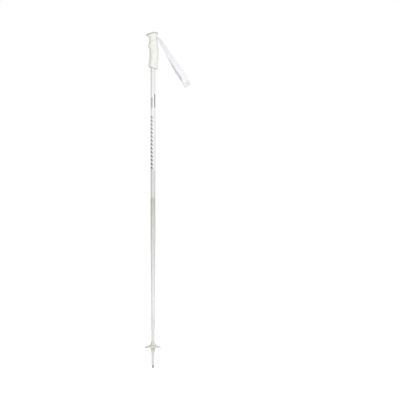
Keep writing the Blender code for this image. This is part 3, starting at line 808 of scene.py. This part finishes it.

# %% [markdown]
# The weave is a herringbone of polyester yarn: slanted ribs that change direction every few
# millimetres across the strap. Real ribs are about 0.8 mm apart and are drawn 1.3 mm apart, so
# that they show. The height of a rib is a sine of (place along + folded place across), with the
# yarns that run along the strap as a finer sine across it. The grooves between the ribs are
# painted a little darker, as painted shade. Fibres 0.4 mm apart roughen it, and give it a soft
# sheen.

# %% Strap finish
CLOTH = {"Roughness": 0.78, "IOR": 1.54, "Sheen Weight": 0.25, "Sheen Roughness": 0.5}
YARN_MM, FIBRE_MM, WEAVE_DEPTH = 0.8, 0.4, 0.08


def woven(name, colour, groove_shade, inner, rib_mm, fold_mm):
    """Herringbone webbing in the piece's own map, with painted shade in its grooves and an inner
    face painted darker in a colour of its own, as painted shade where one layer shades the other.
    """
    material = bpy.data.materials.new(name)
    material.use_nodes = True
    tree = material.node_tree
    shader = tree.nodes["Principled BSDF"]
    parts = node(tree, "SeparateXYZ", {0: node(tree, "UVMap").outputs[0]})
    folded = calc(tree, "PINGPONG", parts.outputs[1], fold_mm * MM)
    slanted = calc(tree, "ADD", parts.outputs[0], folded)
    phase = calc(tree, "DIVIDE", slanted, rib_mm * MM / math.tau)
    rib = calc(tree, "MULTIPLY_ADD", calc(tree, "SINE", phase), 0.5, 0.5)
    warp = calc(tree, "SINE", calc(tree, "DIVIDE", parts.outputs[1], YARN_MM * MM / math.tau))
    height = calc(tree, "MULTIPLY_ADD", warp, 0.2, rib)
    place = node(tree, "TexCoord").outputs["Object"]
    fuzz = node(tree, "TexNoise", {"Vector": place, "Scale": 1 / (FIBRE_MM * MM), "Detail": 3.0})
    height = calc(tree, "MULTIPLY_ADD", fuzz.outputs[0], 0.2, height)
    # The grooves between the ribs get the groove colour: painted shade.
    mixed = node(tree, "Mix", {"Factor": rib}, data_type="RGBA")
    mixed.inputs["A"].default_value = linear(groove_shade)
    mixed.inputs["B"].default_value = linear(colour)
    # The inner face gets the inner colour: painted shade, where one layer of the loop shades the
    # other.
    inside_face = calc(tree, "GREATER_THAN", parts.outputs[1], INNER_MAP / 2 * MM)
    shaded_face_inputs = {"Factor": inside_face, "A": mixed.outputs["Result"]}
    shaded_face = node(tree, "Mix", shaded_face_inputs, data_type="RGBA")
    shaded_face.inputs["B"].default_value = linear(inner)
    tree.links.new(shaded_face.outputs["Result"], shader.inputs["Base Color"])
    bump = node(tree, "Bump", {"Height": height, "Distance": WEAVE_DEPTH * MM, "Strength": 1.0})
    tree.links.new(bump.outputs[0], shader.inputs["Normal"])
    for key, value in CLOTH.items():
        shader.inputs[key].default_value = value
    return material


# e6e6ea on the inner face and #f6f6fb in the grooves are painted shade.
polyester = woven("woven_polyester_webbing", "#fcfcff", "#f6f6fb", "#e6e6ea", 1.3, 2.8)
finished(strap, None, "webbing", polyester, "strap_loop", "strap_fixed_end", "strap_free_end")

# %% [markdown]
# A folded band of a finer tape is sewn round the far end, in a light grey thread that shows on it.
# The thread is real geometry: short rounded stitches, each a stretched bead that dives into the
# cloth at both ends. They are set in a box with a cross in it, on both faces.

# %% End band and stitches
BAND_START = 1 - 11 / 193  # the band covers the last 11 mm of 193
BAND_THICK = 0.8
BAND_HALF_WIDTH = 11.75
BAND_EXTRA = (STRAP_THICK + BAND_THICK) / 2 + 0.12
band_line = loop_line(BAND_START, BAND_EXTRA, 18)
band, _ = webbing("strap_end_band_fold", [band_line], BAND_HALF_WIDTH, BAND_THICK)
# e8e8ec in the tape's grooves and on its inner face is painted shade.
band_weave = woven("woven_polyester_tape", "#f6f6f8", "#e8e8ec", "#e8e8ec", 0.9, 1.5)
finished(band, "strap", "webbing", band_weave, "strap_end_band")


def stitch_row(line_at, w_from, w_to, s_from, s_to, count):
    """Stitches in a straight row on the band's outer face.

    line_at is the band's middle line. The row runs from one place to another, with w in mm
    across the band and s a share of its line. A stitch is a bead: t runs from -1 to 1 along it,
    it thins as the root of one minus t squared, and its ends dip as t squared.
    """
    places, widths, outward = line_at
    steps = np.arange(len(places))
    ends = (np.arange(count)[:, None] + np.array([0.14, 0.86])) / count
    s = (s_from + (s_to - s_from) * ends) * (len(places) - 1)
    w = w_from + (w_to - w_from) * ends
    pick = lambda field: np.stack([np.interp(s, steps, field[:, k]) for k in range(3)], -1)
    face = pick(places) + pick(widths) * w[..., None] + pick(outward) * (BAND_THICK / 2)
    start, stop = face[:, 0], face[:, 1]
    middle, reach = (start + stop) / 2, (stop - start) / 2
    lift = unit(pick(outward).mean(1))
    across = unit(np.cross(reach, lift))
    t = np.linspace(-1, 1, 9)[:, None]
    turn = math.tau * np.arange(8)[None, :] / 8
    fat = 0.3 * np.sqrt(1 - 0.97 * t**2)
    height = 0.22 * (1 - t**2) - 0.12
    spot = lambda v: v[:, None, None, :]
    return (
        spot(middle)
        + spot(reach) * (t + 0 * turn)[None, ..., None]
        + spot(lift) * (height + fat * np.sin(turn))[None, ..., None]
        + spot(across) * (fat * np.cos(turn))[None, ..., None]
    )


rows = []
for near, far in ((0.03, 0.33), (0.97, 0.67)):
    rows.append(stitch_row(band_line, -10.6, 10.6, near, near, 9))
    rows.append(stitch_row(band_line, -10.6, 10.6, far, far, 9))
    rows += [stitch_row(band_line, w, w, near, far, 4) for w in (-10.6, 10.6)]
    rows.append(stitch_row(band_line, -10.2, 10.2, near, far, 9))
    rows.append(stitch_row(band_line, 10.2, -10.2, near, far, 9))
thread = finish_of(
    "twisted_polyester_thread", "#cbcbcf", 0.6, [(0.25, 0.03)], 0.03, Sheen_Weight=0.3
)
stitches = surface("strap_stitches", np.concatenate(rows), sharp_deg=80)
stitches.data.materials.append(thread)
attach(stitches, "strap")
print("stitches", sum(len(r) for r in rows))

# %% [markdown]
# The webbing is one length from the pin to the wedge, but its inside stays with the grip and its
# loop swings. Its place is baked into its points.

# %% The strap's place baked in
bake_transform(strap)

# %% [markdown]
# ## The basket
# The basket keeps the pole from sinking into snow. It is one turned shape: a hub that grips the
# tip body and a thin dished disc. Low flutes run out to the rim, so the disc's height changes
# with the angle, more and more towards the rim, and seven ribs stiffen it from below.

# %% Basket
# Radius and height, from the top of the bore out to the rim and back in under the disc
HUB_TOP = [(5.7, 90.0), (6.3, 90.2), (6.7, 89.7), (7.4, 88.2), (8.1, 85.2), (8.8, 82.4)]
DISC_TOP = [(10.0, 80.0), (12.4, 78.2), (15.5, 77.2), (18.5, 76.2), (21.8, 75.0), (24.3, 73.9)]
RIM_EDGE = [(26.4, 72.7), (27.7, 71.7), (28.4, 70.8), (28.5, 70.2), (28.3, 69.7), (27.8, 69.4)]
DISC_UNDER = [(27.2, 69.5), (25.8, 70.7), (23.9, 71.9), (21.5, 73.0), (18.5, 74.1), (15.5, 74.9)]
HUB_SIDE = [(12.8, 75.3), (10.6, 75.1), (9.5, 74.0), (9.1, 72.0), (8.9, 67.0)]
HUB_FOOT = [(8.2, 62.0), (7.2, 57.8), (6.7, 55.6), (6.2, 55.0), (5.7, 55.0)]
BASKET_LINE = HUB_TOP + DISC_TOP + RIM_EDGE + DISC_UNDER + HUB_SIDE + HUB_FOOT
FLUTES, FLUTE_HEIGHT = 7, 1.0
DISC_FROM, DISC_WIDTH = 11.0, 17.5
RIB_FROM, RIB_LENGTH = 8.8, 16.2
# Radius and height of the middle of the disc's thickness, where the ribs' tops lie
DISC_MIDDLE = [(8.8, 74.9), (12.8, 75.9), (18.5, 74.8), (23.9, 72.9), (25.8, 71.9)]


def basket_flutes(radius, angle):
    """Height added to the disc: a sine of FLUTES times the angle, growing with the square of
    the share of the way from the hub to the rim."""
    share = np.clip((radius - DISC_FROM) / DISC_WIDTH, 0, 1)
    return FLUTE_HEIGHT * share**2 * np.sin(FLUTES * angle)


basket = turned("snow_basket", BASKET_LINE, steps=3, sides=168, loop=True, bow=basket_flutes)


def basket_ribs():
    """One rib for each flute, under the disc: a thin bar that runs outwards. Its top lies in the
    disc, and its lower edge rises quickly near the hub and more slowly further out."""
    t = np.linspace(0, 1, 14)
    radius = RIB_FROM + RIB_LENGTH * t
    top = np.interp(radius, *zip(*DISC_MIDDLE))
    low = np.minimum(68.0 + 4.0 * t**0.7, top - 0.8)
    half = 0.8 - 0.3 * t
    section_w = np.array([-1, 1, 1, 0.6, -0.6, -1])
    heights = np.stack([top, top, low + 0.5, low, low, low + 0.5], -1)
    spoke = math.tau * (np.arange(FLUTES) + 0.5) / FLUTES
    out = np.stack([np.sin(spoke), -np.cos(spoke), 0 * spoke], -1)[:, None, None]
    side = np.stack([np.cos(spoke), np.sin(spoke), 0 * spoke], -1)[:, None, None]
    grid = out * radius[:, None, None] + side * (half[:, None] * section_w)[..., None]
    return grid + heights[..., None] * np.array((0, 0, 1))


ribs = surface("basket_ribs", basket_ribs(), sharp_deg=30)
finished(basket, "basket", "basket_plastic", basket_plastic, "basket")
finished(ribs, "basket", "basket_plastic", basket_plastic)

# %% [markdown]
# ## The tip body and the tip
# Below the shaft a moulded plastic body carries the basket and holds the tip. It ends in two
# grooved rings. The tip is a short hard cone with a dished end, whose sharp rim bites into ice.

# %% Tip body
# Radius and height: the inside of the sleeve, its lip, its outside and the basket's seat
SLEEVE_INSIDE = [(0.0, 98.5), (4.6, 98.5), (4.65, 140.0), (4.9, 161.0), (5.34, 174.4)]
SLEEVE_LIP = [(5.5, 174.9), (5.8, 175.0), (6.0, 174.6), (6.05, 173.6), (6.04, 170.0)]
SLEEVE_OUTSIDE = [(6.0, 167.0), (5.75, 157.0), (5.55, 140.0), (5.5, 92.0)]
SEAT = [(5.35, 91.2), (5.35, 54.6), (5.6, 54.2), (5.6, 52.4), (5.4, 51.6), (5.4, 25.6)]
TIP_BODY_TOP = SLEEVE_INSIDE + SLEEVE_LIP + SLEEVE_OUTSIDE + SEAT
TIP_BODY_END = [(5.3, 10.6), (5.15, 9.7), (4.9, 9.3), (2.9, 9.3), (2.9, 34.0), (0.0, 34.0)]
# A ring groove: radius, and height from the groove's top
RING = [(5.4, 0.0), (5.36, -0.25), (5.05, -0.7), (5.0, -1.0)]
RING += [(5.0, -1.8), (5.05, -2.1), (5.36, -2.5), (5.4, -2.7)]
RING_TOPS = (25.0, 18.6)
rings = [(radius, top + drop) for top in RING_TOPS for radius, drop in RING]
tip_body = turned("tip_body", TIP_BODY_TOP + rings + TIP_BODY_END, sides=96)
finished(tip_body, "pole", "hard_plastic", tip_plastic, "ferrule")
TIP_STEM = [(0.05, 32.0), (2.2, 32.0), (2.6, 31.4), (2.6, 9.0)]
TIP_CONE = [(4.1, 9.0), (4.3, 8.85), (4.4, 8.5), (4.35, 7.5), (4.05, 1.0), (3.95, 0.5)]
TIP_DISH = [(3.75, 0.1), (3.5, 0.0), (2.6, 0.0), (2.3, 0.12), (1.2, 0.8), (0.05, 1.1)]
steel_tip = turned("steel_tip", TIP_STEM + TIP_CONE + TIP_DISH, sides=72)
finished(steel_tip, "pole", "steel", sintered_steel, "tip_insert")

# %% [markdown]
# ## Floor and light
# The pole stands on a plain white floor. The floor glows a little, for the camera only, so that
# it looks as white as the room behind it and throws no extra light up at the pole.

# %% Floor
FLOOR_HALF = 3.0  # metres
FLOOR_GLOW = 0.6
floor_corners = [(-1, -1, 0), (1, -1, 0), (1, 1, 0), (-1, 1, 0)]
floor_mesh = bpy.data.meshes.new("floor")
floor_mesh.from_pydata((np.array(floor_corners) * FLOOR_HALF).tolist(), [], [(0, 1, 2, 3)])
floor = bpy.data.objects.new("floor", floor_mesh)
scene.collection.objects.link(floor)
floor_white = finish_of("matt_white_paint", "#fdfdfd", 0.9, [(1.0, 0.05)], 0.003)
floor_shader = floor_white.node_tree.nodes["Principled BSDF"]
floor_shader.inputs["Emission Color"].default_value = (1, 1, 1, 1)
floor_tree = floor_white.node_tree
seen_direct = node(floor_tree, "LightPath").outputs["Is Camera Ray"]
glow = calc(floor_tree, "MULTIPLY", seen_direct, FLOOR_GLOW)
floor_tree.links.new(glow, floor_shader.inputs["Emission Strength"])
floor.data.materials.append(floor_white)
print("floor", 2 * FLOOR_HALF, "m wide")

# %% [markdown]
# The strongest light is a large softbox in front, with a weak one on the right. The room itself
# is brighter on the right than on the left, so the left side of each white piece turns a little
# grey. It is also brighter straight above and below, by the square of how steeply a ray points
# up or down. The camera sees plain white instead of the room.

# %% Light
LEFT_GREY, RIGHT_GREY, OVERHEAD = 0.2, 0.62, 0.42
world = bpy.data.worlds.new("studio")
scene.world = world
world.use_nodes = True
sky = world.node_tree
direction = node(sky, "SeparateXYZ", {0: node(sky, "TexCoord").outputs["Generated"]})
wall_range = {"Value": direction.outputs[0], 1: -0.9, 2: 0.5, 3: LEFT_GREY, 4: RIGHT_GREY}
side_light = node(sky, "MapRange", wall_range)
steepness = calc(sky, "MULTIPLY", direction.outputs[2], direction.outputs[2])
level = calc(sky, "MULTIPLY_ADD", steepness, OVERHEAD, side_light.outputs[0])
seen = sky.nodes["Background"]
seen.inputs["Color"].default_value = (1, 1, 1, 1)
seen.inputs["Strength"].default_value = 1.0
lighting = node(sky, "Background", {"Color": level, "Strength": 1.0})
ray = node(sky, "LightPath").outputs["Is Camera Ray"]
both = node(sky, "MixShader", {0: ray, 1: lighting.outputs[0], 2: seen.outputs[0]})
sky.links.new(both.outputs[0], sky.nodes["World Output"].inputs["Surface"])


def softbox(name, place, target, size, watts):
    """A rectangular area light at a place, turned to face a target."""
    data = bpy.data.lights.new(name, "AREA")
    data.shape = "RECTANGLE"
    data.size, data.size_y = size
    data.energy = watts
    lamp = bpy.data.objects.new(name, data)
    scene.collection.objects.link(lamp)
    lamp.location = place
    away = np.subtract(place, target)
    flat = math.hypot(away[0], away[1])
    lamp.rotation_euler = (math.atan2(flat, away[2]), 0, math.atan2(away[0], -away[1]))


softbox("right_softbox", (1.6, -2.2, 0.8), (0, 0, 0.6), (0.6, 1.8), 4)
softbox("front_softbox", (-0.3, -3.2, 0.7), (0, 0, 0.6), (1.4, 1.8), 38)
